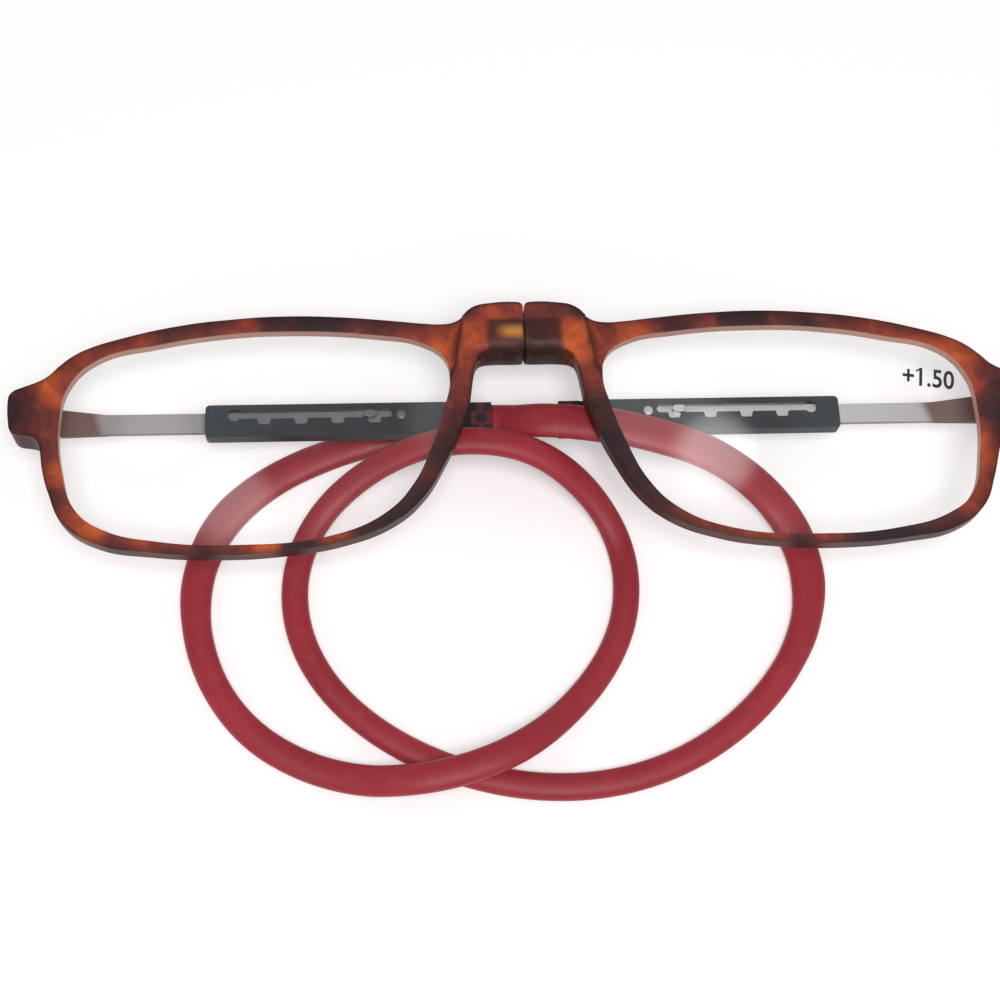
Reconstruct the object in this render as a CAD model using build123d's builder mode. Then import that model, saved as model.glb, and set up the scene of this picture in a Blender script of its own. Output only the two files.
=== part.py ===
from build123d import *
import os
from math import tan, radians, pi

os.makedirs("parts", exist_ok=True)

# Reading glasses that part at a magnet in the bridge, folded flat on the loops of their neckband.
# X runs outwards from the seam, Y up the face and Z out of the lenses; each right-hand piece is
# drawn at +X and its left-hand twin is its mirror image. All sizes are in millimetres.

# Fits
seam_gap = 0.1
seat_clearance = 0.05
pin_clearance = 0.03
slide_clearance = 0.1
cut_overrun = 1.0

# Lens openings
lens_spacing = 20.7
lens_width = 50.85
lens_height = 30.8
lens_drop = 1.3
lens_thickness = 1.7
tongue_depth = 0.5
tongue_thickness = 0.6

# Front rims
front_face = 3.6
rim_thickness = 2.1
rim_nose_width = 2.95
rim_side_width = 3.5
rim_top_width = 2.25
rim_bottom_width = 1.35

# Bridge halves with their magnets
bridge_reach = 9.9
bridge_height = 11.05
bridge_rise = 1.6
bridge_proud = 0.35
bridge_depth = 6.0
bridge_corner_radius = 0.6
fairing_reach = 4.1
fairing_height = 3.6
magnet_diameter = 5.4
magnet_length = 4.6
magnet_drop = 4.05
magnet_depth = 3.0
magnet_edge = 0.3

# End pieces and hinges
end_piece_reach = 4.3
end_piece_width = 7.0
end_piece_height = 12.9
end_piece_rise = 6.7
end_block_depth = 4.6
end_block_lap = 0.4
hinge_inset = 3.5
hinge_depth = 5.9
knuckle_diameter = 2.3
knuckle_gap = 0.05
middle_knuckle_width = 2.0
side_knuckle_width = 1.25
leaf_length = 3.1
leaf_thickness = 0.8
leaf_inset = 1.0
screw_diameter = 0.9
screw_head_diameter = 1.5
screw_head_height = 0.5
screw_slot_width = 0.25

# Temple strips
temple_rise = 3.2
temple_depth = 6.6
strip_height = 2.85
strip_thickness = 0.7
strip_flare_height = 3.9
strip_neck_height = 1.9
strip_inner_end = 18.2
strip_corner_radius = 0.5
strip_neck_length = 2.3
flare_gap = 0.3
flare_length = 6.3
bend_length = 6.0
stud_place = 21.3
stud_length = 1.8
stud_height = 1.0
stud_proud = 0.15
stud_shank_diameter = 0.6

# Sleeves that the strips slide in
sleeve_inner_end = 7.5
sleeve_outer_end = 43.6
sleeve_height = 4.75
sleeve_thickness = 1.9
sleeve_corner_radius = 0.6
sleeve_stop = 15.5
lane_height = 1.15
lane_rise = 0.85
lane_start = 18.75
lane_end = 39.7
lane_end_radius = 0.9
notch_first = 20.65
notch_pitch = 5.0
notch_count = 4
notch_width = 2.1
notch_floor_width = 1.5
notch_depth = 1.4
notch_corner_radius = 0.35
rivet_place = 17.0
rivet_rise = 0.6
rivet_diameter = 1.36
rivet_proud = 0.1

# Moulded ends of the neckband
cuff_inner_end = 4.6
cuff_height = 4.7
cuff_thickness = 2.3
plug_tongue_length = 3.0
plug_tongue_height = 3.0
plug_tongue_thickness = 1.0
plug_core_thickness = 0.8
plug_bar_width = 0.95
plug_bar_inset = 0.1
plug_spine_height = 1.5
plug_post_height = 1.3
plug_boss_diameter = 1.5

# Neckband
table_level = -8.2
band_diameter = 2.6
band_flat = 0.5
band_end_run = 1.5

# Places worked out from the sizes
rim_back = front_face - rim_thickness
rim_middle = front_face - rim_thickness / 2
lens_centre = (lens_spacing / 2 + lens_width / 2, -lens_drop)
rim_width = rim_nose_width + lens_width + rim_side_width
rim_height = rim_bottom_width + lens_height + rim_top_width
rim_centre = (
    lens_centre[0] + (rim_side_width - rim_nose_width) / 2,
    lens_centre[1] + (rim_top_width - rim_bottom_width) / 2,
)
rim_top = rim_centre[1] + rim_height / 2
rim_side = rim_centre[0] + rim_width / 2
bridge_top = rim_top + bridge_rise
front_half_width = rim_side + end_piece_reach
hinge_x = front_half_width - hinge_inset
hinge_z = front_face - hinge_depth
temple_y = temple_rise
temple_z = front_face - temple_depth
lane_y = temple_y + lane_rise
strip_top = temple_z + strip_thickness / 2
sleeve_top = temple_z + sleeve_thickness / 2
sleeve_bottom = temple_z - sleeve_thickness / 2
cuff_bottom = temple_z - cuff_thickness / 2
block_back = front_face - end_block_depth
knuckle_stack = middle_knuckle_width + 2 * (knuckle_gap + side_knuckle_width)

# Outlines as shares of the width and height that they fill, from the middle of that box
lens_shares = [
    (-0.055, 0.5), (-0.301, 0.477), (-0.429, 0.435), (-0.486, 0.364), (-0.5, 0.263),
    (-0.484, 0.123), (-0.446, -0.068), (-0.399, -0.234), (-0.33, -0.36), (-0.203, -0.458),
    (0.063, -0.5), (0.26, -0.477), (0.389, -0.422), (0.454, -0.334), (0.488, -0.14),
    (0.5, 0.091), (0.486, 0.244), (0.425, 0.367), (0.264, 0.443), (0.104, 0.486),
]
rim_shares = [
    (-0.053, 0.5), (-0.193, 0.493), (-0.332, 0.469), (-0.42, 0.44), (-0.474, 0.356),
    (-0.4965, 0.228), (-0.492, 0.112), (-0.467, -0.01), (-0.432, -0.138), (-0.381, -0.278),
    (-0.315, -0.376), (-0.2015, -0.452), (-0.062, -0.49), (0.079, -0.5), (0.235, -0.484),
    (0.357, -0.446), (0.434, -0.362), (0.47, -0.237), (0.491, -0.106), (0.5, 0.068),
    (0.486, 0.228), (0.432, 0.342), (0.322, 0.411), (0.182, 0.465),
]
# From the seam and down from the top of the bridge
bridge_shares = [
    (0.465, 0.009), (0.768, 0.086), (0.869, 0.285), (1, 0.846), (0.909, 1), (0.737, 1),
    (0.697, 0.846), (0.616, 0.729), (0.465, 0.665),
]
bridge_valley_share = 0.665
# From the nose side of the bridge's shoulder and down from the rim's top
fairing_shares = [(0, -0.07), (0.27, 0.21), (0.66, 0.39), (1, 0.43), (0.76, 0.93), (0.02, 0.93)]
fairing_start_share = 0.8
# In from the outer end and down from the top of the end piece
end_piece_shares = [
    (1, 0), (0.77, 0.147), (0.514, 0.233), (0.229, 0.295), (0, 0.372), (0.057, 0.752),
    (0.2, 0.814), (0.657, 0.891), (0.857, 1), (0.93, 0.38),
]


def placed(shares, width, height, centre):
    """Points at shares of a width and a height from a centre."""
    return [(centre[0] + x * width, centre[1] + y * height) for x, y in shares]


def closed_curve(points):
    """A smooth closed curve that starts at the top of its outline, where it runs level."""
    return Spline(*points, points[0], tangents=[(-1, 0), (-1, 0)])


def lens_points(growth):
    """The lens opening's outline, grown by a length all round."""
    return placed(lens_shares, lens_width + 2 * growth, lens_height + 2 * growth, lens_centre)


def save_pair(right_part, name):
    """Writes a right-hand piece and its mirror image, each as its own node."""
    with BuildPart() as right:
        add(right_part)
    right.part.label = f"{name}_right"
    export_step(right.part, f"parts/{name}_right.step")
    with BuildPart() as left:
        mirror(right_part, about=Plane.YZ)
    left.part.label = f"{name}_left"
    export_step(left.part, f"parts/{name}_left.step")


# Front rim, with its bridge half and end piece
with BuildPart() as front_rim:
    with BuildSketch(Plane.XY.offset(rim_back)):
        with BuildLine():
            closed_curve(placed(rim_shares, rim_width, rim_height, rim_centre))
        make_face()
    extrude(amount=rim_thickness)
    with BuildSketch(Plane.XY.offset(rim_back)):
        fairing_start = (bridge_reach * fairing_start_share, rim_top)
        with BuildLine():
            Polyline(*placed(fairing_shares, fairing_reach, -fairing_height, fairing_start), close=True)
        make_face()
    extrude(amount=rim_thickness)
    with BuildSketch(Plane.XY.offset(front_face - bridge_depth)) as bridge_plan:
        seam_top = (seam_gap / 2, bridge_top)
        seam_bottom = (seam_gap / 2, bridge_top - bridge_height * bridge_valley_share)
        shoulder = placed(bridge_shares, bridge_reach, -bridge_height, (0, bridge_top))
        with BuildLine():
            Polyline(seam_top, *shoulder, seam_bottom, close=True)
        make_face()
        fillet(bridge_plan.vertices(), radius=bridge_corner_radius)
    extrude(amount=bridge_depth + bridge_proud)
    end_corner = (front_half_width, temple_y + end_piece_rise)
    end_points = placed(end_piece_shares, -end_piece_width, -end_piece_height, end_corner)
    with BuildSketch(Plane.XY.offset(rim_back)):
        with BuildLine():
            Polyline(*end_points, close=True)
        make_face()
    extrude(amount=rim_thickness)
    with BuildSketch(Plane.XY.offset(block_back)):
        with BuildLine():
            Polyline(*end_points, close=True)
        make_face()
        with Locations((rim_side - end_block_lap, temple_y)):
            Rectangle(end_piece_width, 2 * end_piece_height, align=(Align.MIN, Align.CENTER), mode=Mode.INTERSECT)
    extrude(amount=end_block_depth)
    # The lens opening and the groove that holds the lens
    with BuildSketch(Plane.XY.offset(block_back - cut_overrun)):
        with BuildLine():
            closed_curve(lens_points(0))
        make_face()
    extrude(amount=end_block_depth + bridge_proud + 2 * cut_overrun, mode=Mode.SUBTRACT)
    groove_thickness = tongue_thickness + 2 * seat_clearance
    with BuildSketch(Plane.XY.offset(rim_middle - groove_thickness / 2)):
        with BuildLine():
            closed_curve(lens_points(tongue_depth + seat_clearance))
        make_face()
    extrude(amount=groove_thickness, mode=Mode.SUBTRACT)
    # The magnet's pocket opens at the seam
    with BuildSketch(Plane.YZ):
        with Locations((bridge_top - magnet_drop, front_face - magnet_depth)):
            Circle(magnet_diameter / 2 + pin_clearance)
    extrude(amount=seam_gap / 2 + magnet_length + seat_clearance, mode=Mode.SUBTRACT)
    # The hinge leaf is let in flush under the end piece
    with BuildSketch(Plane.XY.offset(block_back)):
        with Locations((hinge_x - leaf_inset - seat_clearance, temple_y)):
            Rectangle(
                leaf_length + 2 * seat_clearance,
                knuckle_stack + 2 * seat_clearance,
                align=(Align.MIN, Align.CENTER),
            )
    extrude(amount=leaf_thickness, mode=Mode.SUBTRACT)
save_pair(front_rim.part, "front_rim")

# Lens, held by a tongue round its edge
with BuildPart() as lens:
    with BuildSketch(Plane.XY.offset(rim_middle - lens_thickness / 2)):
        with BuildLine():
            closed_curve(lens_points(-seat_clearance))
        make_face()
    extrude(amount=lens_thickness)
    with BuildSketch(Plane.XY.offset(rim_middle - tongue_thickness / 2)):
        with BuildLine():
            closed_curve(lens_points(tongue_depth))
        make_face()
    extrude(amount=tongue_thickness)
save_pair(lens.part, "lens")

# Magnet, flush with the seam face of its bridge half
with BuildPart() as magnet:
    with BuildSketch(Plane.YZ.offset(seam_gap / 2)):
        with Locations((bridge_top - magnet_drop, front_face - magnet_depth)):
            Circle(magnet_diameter / 2)
    extrude(amount=magnet_length)
    chamfer(magnet.edges().filter_by(GeomType.CIRCLE), length=magnet_edge)
save_pair(magnet.part, "magnet")

# Hinge leaf on the front, with its two knuckles
with BuildPart() as hinge_leaf:
    with BuildSketch(Plane.XY.offset(block_back)):
        with Locations((hinge_x - leaf_inset, temple_y)):
            Rectangle(leaf_length, knuckle_stack, align=(Align.MIN, Align.CENTER))
    extrude(amount=leaf_thickness)
    for knuckle_side in (-1, 1):
        knuckle_start = temple_y + knuckle_side * (middle_knuckle_width / 2 + knuckle_gap)
        with BuildSketch(Plane.XZ.offset(-knuckle_start)):
            with Locations((hinge_x, hinge_z)):
                Circle(knuckle_diameter / 2)
            with Locations((hinge_x - leaf_inset, hinge_z)):
                Rectangle(
                    leaf_inset + knuckle_diameter / 2,
                    block_back - hinge_z,
                    align=(Align.MIN, Align.MIN),
                )
        extrude(amount=-knuckle_side * side_knuckle_width)
    with BuildSketch(Plane.XZ.offset(-temple_y)):
        with Locations((hinge_x, hinge_z)):
            Circle(screw_diameter / 2 + pin_clearance)
    extrude(amount=knuckle_stack, both=True, mode=Mode.SUBTRACT)
save_pair(hinge_leaf.part, "front_hinge_leaf")

# Hinge screw, with its slotted head at the upper knuckle
with BuildPart() as hinge_screw:
    screw_end = temple_y - knuckle_stack / 2
    head_start = temple_y + knuckle_stack / 2
    with BuildSketch(Plane.XZ.offset(-screw_end)):
        with Locations((hinge_x, hinge_z)):
            Circle(screw_diameter / 2)
    extrude(amount=-knuckle_stack)
    with BuildSketch(Plane.XZ.offset(-head_start)):
        with Locations((hinge_x, hinge_z)):
            Circle(screw_head_diameter / 2)
    extrude(amount=-screw_head_height)
    with BuildSketch(Plane.XZ.offset(-head_start - screw_head_height)):
        with Locations((hinge_x, hinge_z)):
            Rectangle(screw_head_diameter + cut_overrun, screw_slot_width)
    extrude(amount=screw_head_height / 2, mode=Mode.SUBTRACT)
save_pair(hinge_screw.part, "hinge_screw")

# Steel temple strip: straight in the sleeve, then cranked up to the hinge
with BuildPart() as temple_strip:
    hinge_rise = hinge_z - temple_z
    bend_end = hinge_x - strip_neck_length
    bend_start = bend_end - bend_length
    half_thickness = strip_thickness / 2
    side_view = [
        (strip_inner_end, temple_z - half_thickness),
        (bend_start, temple_z - half_thickness),
        (bend_end, hinge_z - half_thickness),
        (hinge_x, hinge_z - half_thickness),
        (hinge_x, hinge_z + half_thickness),
        (bend_end, hinge_z + half_thickness),
        (bend_start, temple_z + half_thickness),
        (strip_inner_end, temple_z + half_thickness),
    ]
    with BuildSketch(Plane.XZ.offset(-temple_y)):
        with BuildLine():
            Polyline(*side_view, close=True)
        make_face()
    extrude(amount=strip_flare_height, both=True)
    flare_end = bend_end - flare_gap
    upper_edge = [
        (strip_inner_end, temple_y + strip_height / 2),
        (flare_end - flare_length, temple_y + strip_height / 2),
        (flare_end, temple_y + strip_flare_height / 2),
        (bend_end, temple_y + strip_neck_height / 2),
        (hinge_x, temple_y + strip_neck_height / 2),
    ]
    lower_edge = [(x, 2 * temple_y - y) for x, y in reversed(upper_edge)]
    with BuildSketch(Plane.XY.offset(temple_z - strip_thickness)) as strip_plan:
        with BuildLine():
            Polyline(*upper_edge, *lower_edge, close=True)
        make_face()
        fillet(strip_plan.vertices().group_by(Axis.X)[0], radius=strip_corner_radius)
    extrude(amount=hinge_rise + 2 * strip_thickness, mode=Mode.INTERSECT)
    with BuildSketch(Plane.XZ.offset(-temple_y)):
        with Locations((hinge_x, hinge_z)):
            Circle(knuckle_diameter / 2)
    extrude(amount=middle_knuckle_width / 2, both=True)
    with BuildSketch(Plane.XZ.offset(-temple_y)):
        with Locations((hinge_x, hinge_z)):
            Circle(screw_diameter / 2 + pin_clearance)
    extrude(amount=knuckle_stack, both=True, mode=Mode.SUBTRACT)
    with BuildSketch(Plane.XY.offset(strip_top)):
        with Locations((stud_place, lane_y)):
            Circle(stud_shank_diameter / 2 + pin_clearance)
    extrude(amount=-strip_thickness, mode=Mode.SUBTRACT)
save_pair(temple_strip.part, "temple_strip")

# Detent stud, riveted through the strip and riding in the sleeve's lane
with BuildPart() as detent_stud:
    with BuildSketch(Plane.XY.offset(strip_top)):
        with Locations((stud_place, lane_y)):
            SlotOverall(stud_length, stud_height)
    extrude(amount=sleeve_top + stud_proud - strip_top)
    with BuildSketch(Plane.XY.offset(strip_top)):
        with Locations((stud_place, lane_y)):
            Circle(stud_shank_diameter / 2)
    extrude(amount=-strip_thickness)
save_pair(detent_stud.part, "detent_stud")

# Sleeve: cavity for the strip, pocket for the band's plug, lane with detent notches
with BuildPart() as temple_sleeve:
    sleeve_length = sleeve_outer_end - sleeve_inner_end
    with BuildSketch(Plane.XY.offset(sleeve_bottom)) as sleeve_plan:
        with Locations((sleeve_inner_end, temple_y)):
            Rectangle(sleeve_length, sleeve_height, align=(Align.MIN, Align.CENTER))
        fillet(sleeve_plan.vertices().group_by(Axis.X)[-1], radius=sleeve_corner_radius)
    extrude(amount=sleeve_thickness)
    with BuildSketch(Plane.YZ.offset(sleeve_stop)):
        with Locations((temple_y, temple_z)):
            Rectangle(strip_height + 2 * slide_clearance, strip_thickness + 2 * slide_clearance)
    extrude(amount=sleeve_outer_end - sleeve_stop, mode=Mode.SUBTRACT)
    with BuildSketch(Plane.YZ.offset(sleeve_inner_end)):
        with Locations((temple_y, temple_z)):
            Rectangle(plug_tongue_height, plug_tongue_thickness)
    extrude(amount=plug_tongue_length, mode=Mode.SUBTRACT)
    with BuildSketch(Plane.XY.offset(temple_z)):
        with Locations(((lane_start + lane_end) / 2, lane_y)):
            SlotCenterToCenter(lane_end - lane_start, lane_height)
        with Locations((lane_end, lane_y)):
            Circle(lane_end_radius)
        for notch in range(notch_count):
            notch_x = notch_first + notch * notch_pitch
            notch_points = [
                (notch_x - notch_width / 2, lane_y),
                (notch_x - notch_floor_width / 2, lane_y - notch_depth),
                (notch_x + notch_floor_width / 2, lane_y - notch_depth),
                (notch_x + notch_width / 2, lane_y),
            ]
            with BuildLine():
                FilletPolyline(*notch_points, radius=notch_corner_radius)
                Line(notch_points[-1], notch_points[0])
            make_face()
    extrude(amount=sleeve_thickness, mode=Mode.SUBTRACT)
    with BuildSketch(Plane.XY.offset(sleeve_bottom)):
        with Locations((rivet_place, temple_y + rivet_rise)):
            Circle(rivet_diameter / 2 + pin_clearance)
    extrude(amount=sleeve_thickness, mode=Mode.SUBTRACT)
save_pair(temple_sleeve.part, "temple_sleeve")

# Rivet through both walls of the sleeve, which stops the strip going in
with BuildPart() as sleeve_rivet:
    with BuildSketch(Plane.XY.offset(sleeve_bottom - rivet_proud)):
        with Locations((rivet_place, temple_y + rivet_rise)):
            Circle(rivet_diameter / 2)
    extrude(amount=sleeve_thickness + 2 * rivet_proud)
    chamfer(sleeve_rivet.edges().filter_by(GeomType.CIRCLE), length=rivet_proud)
save_pair(sleeve_rivet.part, "sleeve_rivet")


def plug_core(growth):
    """The hard core in a cuff: a spine, two bars with posts at their ends, and a boss."""
    core_start = cuff_inner_end + plug_bar_inset
    core_end = sleeve_inner_end
    bar_places = (core_start + plug_bar_width / 2, core_end - plug_bar_width / 2)
    post_y = (cuff_height - plug_post_height) / 2
    with BuildPart() as core:
        with BuildSketch(Plane.XY.offset(temple_z)):
            with Locations(((core_start + core_end) / 2, temple_y)):
                Rectangle(core_end - core_start, plug_spine_height + 2 * growth)
            for bar_x in bar_places:
                with Locations((bar_x, temple_y)):
                    Rectangle(plug_bar_width + 2 * growth, 2 * post_y)
        extrude(amount=plug_core_thickness / 2 + growth, both=True)
        with BuildSketch(Plane.XY.offset(temple_z)):
            for bar_x in bar_places:
                with Locations((bar_x, temple_y - post_y), (bar_x, temple_y + post_y)):
                    Rectangle(plug_bar_width + 2 * growth, plug_post_height + 2 * growth)
            with Locations(((core_start + core_end) / 2, temple_y)):
                Circle(plug_boss_diameter / 2 + growth)
        extrude(amount=cuff_thickness / 2, both=True)
    return core.part


# Plug: its core locks into the cuff and its tongue into the sleeve
with BuildPart() as band_plug:
    add(plug_core(0))
    with BuildSketch(Plane.YZ.offset(sleeve_inner_end)):
        with Locations((temple_y, temple_z)):
            Rectangle(plug_tongue_height - 2 * seat_clearance, plug_tongue_thickness - 2 * seat_clearance)
    extrude(amount=plug_tongue_length - seat_clearance)
save_pair(band_plug.part, "band_plug")

# Cuff moulded round the plug's core
with BuildPart() as band_cuff:
    with BuildSketch(Plane.XY.offset(cuff_bottom)):
        with Locations((cuff_inner_end, temple_y)):
            Rectangle(sleeve_inner_end - cuff_inner_end, cuff_height, align=(Align.MIN, Align.CENTER))
    extrude(amount=cuff_thickness)
    add(plug_core(pin_clearance), mode=Mode.SUBTRACT)
save_pair(band_cuff.part, "band_cuff")

# Neckband: two loose turns on the table, from the left cuff to the right one. It leaves the left
# cuff over the right sleeve and comes back to the right cuff under the left one.
low = table_level + band_diameter / 2 - band_flat
band_route = [
    (-cuff_inner_end, temple_y, temple_z),
    (-cuff_inner_end + band_end_run, temple_y, temple_z),
    (-0.9, 3.0, -1.5), (1.9, 2.75, -0.05), (5.2, 2.3, 0.1), (10.5, 1.4, -0.2), (17.5, -0.5, -0.35),
    (25, -2.8, -1.3), (32, -6.3, -4.9), (36.6, -11.4, low), (38.5, -18.5, low), (37.6, -26, low),
    (33.6, -33.4, low), (27, -39.8, low), (18.5, -44.8, low), (8.5, -47.4, low), (-1.8, -47.4, low),
    (-12, -44.9, low), (-21, -40.2, low), (-27.9, -33.4, low), (-31.6, -25.2, low),
    (-32, -16.6, low), (-28.6, -9, -6.6), (-22.5, -4, -4.2), (-15, -1.4, -1.0), (-8, -0.8, 0.1),
    (-1.2, -2, -0.3), (4.2, -4.4, -2.2), (9, -7.8, -5.2), (12.2, -12.6, low), (13.6, -19, low),
    (12.6, -26, low), (9, -32.7, low), (3.2, -38.9, -6.6), (-3, -43.4, -4.4), (-9.8, -46, -4.3),
    (-16.4, -47.1, -4.8), (-23.5, -46.6, -6.8), (-31, -43.9, low), (-37.6, -39.4, low),
    (-42.6, -33, low), (-45.3, -25.4, low), (-45.3, -17.2, low), (-41.8, -9.6, low),
    (-35.6, -3.8, low), (-27.6, 0.2, low), (-18.6, 2.6, low), (-10.4, 4.1, low), (-4.4, 4.7, -6.9),
    (-0.5, 4.15, -5.1),
    (cuff_inner_end - band_end_run, temple_y, temple_z),
    (cuff_inner_end, temple_y, temple_z),
]
arc_share = 0.45
runs = [Vector(b) - Vector(a) for a, b in zip(band_route, band_route[1:])]
band_radii = [
    arc_share * min(a.length, b.length) / tan(radians(a.get_angle(b)) / 2)
    for a, b in zip(runs, runs[1:])
]

with BuildPart() as neckband:
    with BuildLine() as band_path:
        FilletPolyline(*band_route, radius=band_radii)
    with BuildSketch(Plane.YZ.offset(-cuff_inner_end)):
        with Locations((temple_y, temple_z)):
            Circle(band_diameter / 2)
    sweep(path=band_path.wires()[0])
    round_volume = neckband.part.volume
    split(bisect_by=Plane.XY.offset(table_level), keep=Keep.TOP)
neckband.part.label = "neckband"
export_step(neckband.part, "parts/neckband.step")

# Radii of the band's bends, its length, its volume against section times length, and its least gap
band_wire = band_path.wires()[0]
band_length = band_wire.length
print("band radii", [round(radius, 1) for radius in band_radii])
print("band length", round(band_length, 1))
print("band volume ratio", round(round_volume / (band_length * pi * band_diameter**2 / 4), 4))
sample_count = 900
neighbour_length = 4 * band_diameter
samples = [band_wire.position_at(step / sample_count) for step in range(sample_count + 1)]
skipped = round(neighbour_length / band_length * sample_count)
centre_gap = min(
    ((samples[i] - samples[j]).length, tuple(round(c, 1) for c in samples[i]))
    for i in range(sample_count + 1)
    for j in range(i + skipped, sample_count + 1)
)
print("band least gap to itself", round(centre_gap[0] - band_diameter, 2), "at", centre_gap[1])
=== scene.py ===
from functools import cached_property
from math import cos, exp, radians

import bmesh
import bpy
from mathutils import Matrix, Vector
from mathutils.kdtree import KDTree


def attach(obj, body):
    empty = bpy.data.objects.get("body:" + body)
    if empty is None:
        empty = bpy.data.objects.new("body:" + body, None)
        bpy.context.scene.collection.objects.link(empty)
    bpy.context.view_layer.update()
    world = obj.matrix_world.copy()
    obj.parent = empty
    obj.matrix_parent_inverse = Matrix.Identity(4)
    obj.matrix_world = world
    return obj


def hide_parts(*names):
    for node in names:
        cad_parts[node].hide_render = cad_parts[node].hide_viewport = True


# Reading glasses that part at a magnet in the bridge, folded flat on the loops of their neckband.
# Sizes, outlines and routes are written in millimetres, in the frame of the CAD model, and become
# metres when they are used. Only what the materials read from a place is written in metres.
# Right is +X, as the camera sees it.

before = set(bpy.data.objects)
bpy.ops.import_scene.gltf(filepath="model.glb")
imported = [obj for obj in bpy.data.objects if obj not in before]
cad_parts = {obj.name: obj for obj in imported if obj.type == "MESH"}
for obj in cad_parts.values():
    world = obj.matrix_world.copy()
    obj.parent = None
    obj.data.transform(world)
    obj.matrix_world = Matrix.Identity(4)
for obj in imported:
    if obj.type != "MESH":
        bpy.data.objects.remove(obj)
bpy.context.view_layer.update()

MM = 0.001
SIDES = {"right": 1, "left": -1}

# The camera, fitted to the two equal halves of the front
CAMERA_LENS = 62.57
CAMERA_SENSOR = 36
CAMERA_CLIP = (0.01, 10)
CAMERA_PLACE = (-17.37, -95.58, 215.0)
CAMERA_RIGHT = (0.99818, -0.03857, 0.04630)
CAMERA_UP = (0.01862, 0.92815, 0.37174)
CAMERA_BACK = (-0.05731, -0.37020, 0.92718)

# The soft box, in metres and watts
LAMP_PLACE = (0.02, -0.21, 0.55)
LAMP_TARGET = (0, -0.01, 0)
LAMP_SIZE = 0.3
LAMP_POWER = 2.05

# The sky's strength near the horizon and overhead, and the heights between which it changes
SKY_LOW = 0.62
SKY_HIGH = 0.2
SKY_FADE = (0.55, 0.92)
# Pale patches of the sky, as direction, reach in degrees and added strength
SKY_PATCHES = [
    ((-0.098, 0.372, 0.923), 1.7, 1.5), ((-0.14, 0.409, 0.902), 1.4, 0.8),
    ((0.024, 0.416, 0.909), 1.5, 0.5), ((0.182, 0.388, 0.904), 1.6, 2.8),
    ((0.149, 0.407, 0.901), 3.0, 0.6),
]
# The share of a patch's reach that has its full strength
PATCH_CORE = 0.35

# The table top: its level, its half width in metres, its colour, and the glow that makes it white
# to the camera and in what mirrors it or shows it through
TABLE_Z = -8.2
TABLE_REACH = 3
TABLE_COLOUR = (0.87, 0.835, 0.84, 1)
TABLE_GLOW = 0.27
TABLE_GLOW_MIRRORED = 0.36

# Levels of the moulded fronts
FRONT_Z = 3.6
BACK_Z = 1.5
BRIDGE_PROUD = 0.35
BRIDGE_BACK_Z = -2.4
END_BLOCK_BACK_Z = -1.0
END_BLOCK_START = 64.3
LEVEL_SLACK = 0.01
# How finely an outline is followed: steps between two of its points, and the gap between stations
OUTLINE_STEPS = 12
STATION = 0.5
SHORTEST_RUN = 1e-9
# Rounding of a front's edges, with the least angle, in degrees, that counts as an edge
OUTER_ROUND = 0.32
INNER_ROUND = 0.3
SHARP_RIM = 38
BY_OPENING = 0.15
# The front face falls by the crown over the width of the skirt
SKIRT = 0.38
CROWN = 0.08
# The bridge block: its crease, the height it starts at, and how it rises in front and behind
CREASE = [(8.4, 16.2), (9.55, 8.6), (10.6, 6.4)]
BRIDGE_LOW_CUT = 3.6
BRIDGE_FADE = (4.0, 9.4)
BRIDGE_BACK_FADE = (8.4, 12.4)
# The lower edge of the block, inside this corner, turns down in a wider round
BRIDGE_FOOT = (6.3, 11.2)
BRIDGE_FOOT_ROUND = 2.0
BLOCK_COLUMNS = [0.5, 1.2, 2.0, 2.8, 3.6, 4.4, 5.2, 5.9, 6.5, 7.1, 7.7, 8.3, 8.9]
BLOCK_ROWS = [
    8.0, 8.7, 9.4, 10.1, 10.8, 11.1, 11.45, 11.9, 12.4, 13.1, 13.9, 14.7, 15.5, 16.3, 16.9, 17.4,
]
# Windows of the front that a cut keeps to, as left, right, low and high
BLOCK_WINDOW = (0, 10, 6, 20)
CREASE_WINDOWS = [(0, 14, 7, 20), (0, 14, 2, 10)]
LOW_CUT_WINDOW = (0, 14, 1, 6)
OUTBOARD_WINDOW = (60, 70, -20, 20)
# Slack for cuts and for merging points
CUT_SLACK = 1e-5
MERGE_SLACK = 0.004
# What counts as one flat upright wall: the angle across an edge in degrees, the share of a
# normal that points up, and the difference in level along an edge
FLAT_WALL = 0.5
UPRIGHT = 0.1
SAME_LEVEL = 0.001
# How far from its line a tint is full, and how far from it the tint ends: painted shade by the
# rim's edge and the crease, painted light on the inner wall
RIM_EDGE_FADE = (0.15, 0.6)
INNER_WALL_FADE = (0.15, 0.8)
CREASE_FADE = (0.05, 0.45)
# Where the seam lies, and the corner inside which the outline belongs to it and gets no dark edge
SEAM_X = 0.08
SEAM_CORNER = (0.6, 17.3)

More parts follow.
